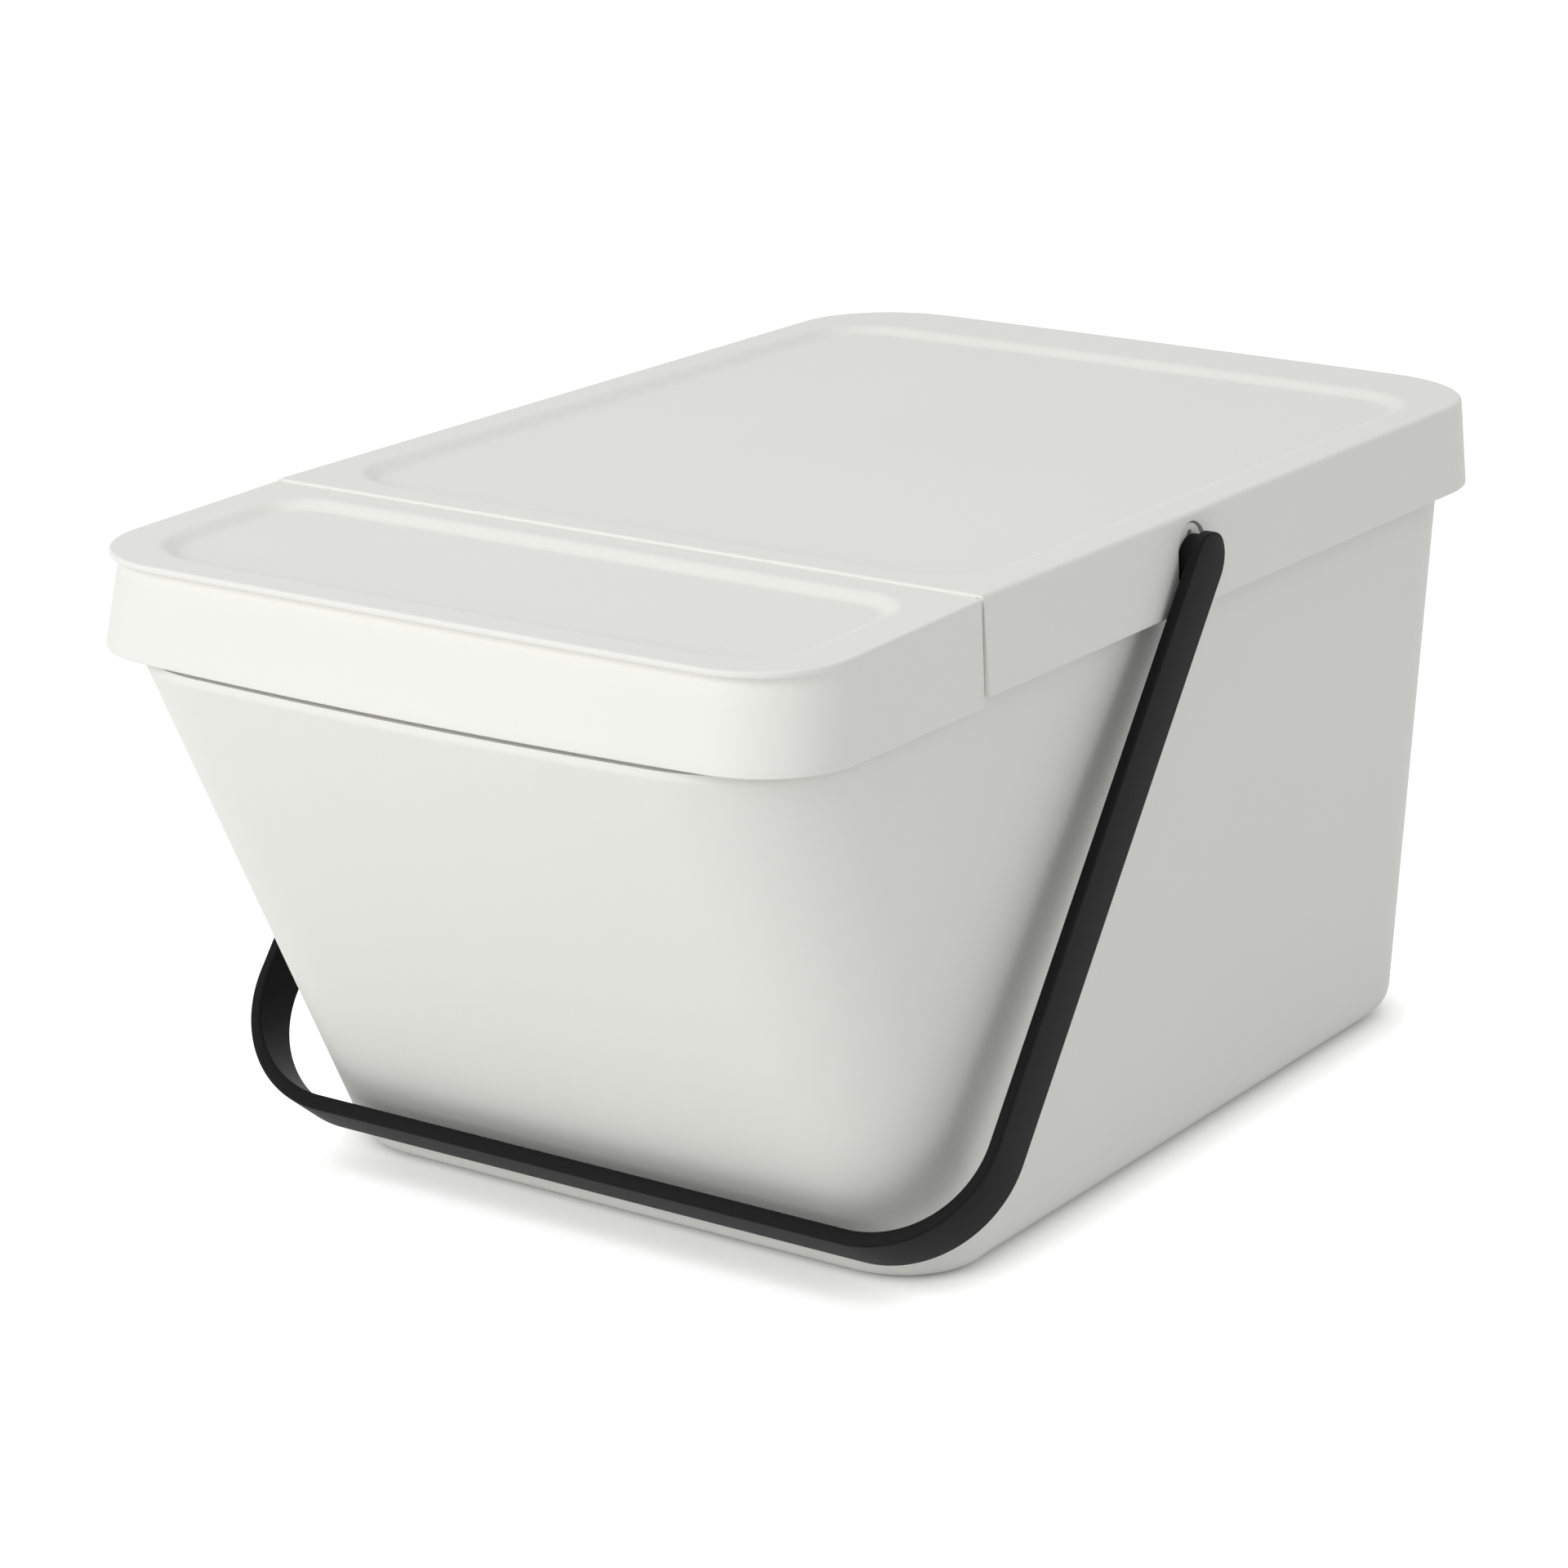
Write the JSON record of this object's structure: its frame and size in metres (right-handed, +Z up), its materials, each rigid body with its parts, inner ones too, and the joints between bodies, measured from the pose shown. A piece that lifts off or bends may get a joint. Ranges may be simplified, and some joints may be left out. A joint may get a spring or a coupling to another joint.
{
  "type": "stackable trash can",
  "caption": "Stackable kitchen bin with a raked front, a lift-off dished lid, a hinged front flap and a swinging carry handle.",
  "frame": {"origin": "middle of the length and width of the whole bin, on the floor", "axes": "+Z up, -Y towards the front with the flap and the raked wall, +X to the right seen from the front"},
  "size_m": [0.278, 0.4592, 0.221],
  "materials": {
    "bin_plastic": "fine matte moulded",
    "handle_plastic": "satin moulded"
  },
  "bodies": {
    "root": {"bucket": "bin_plastic"},
    "lid": {"rear_lid": "bin_plastic"},
    "flap": {"front_flap": "bin_plastic"},
    "handle": {"carry_handle": "handle_plastic"}
  },
  "joints": [
    {"name": "lid_lift", "type": "slide", "parent": "root", "child": "lid", "axis": [0, 0, 1], "range_m": [0, 0.05]},
    {"name": "flap_hinge", "type": "hinge", "parent": "lid", "child": "flap", "pos_m": [0, -0.1257, 0.2202], "axis": [-1, 0, 0], "range_deg": [0, 110]},
    {"name": "handle_swing", "type": "hinge", "parent": "root", "child": "handle", "pos_m": [0, -0.0007, 0.206], "axis": [-1, 0, 0], "range_deg": [0, 250]}
  ]
}
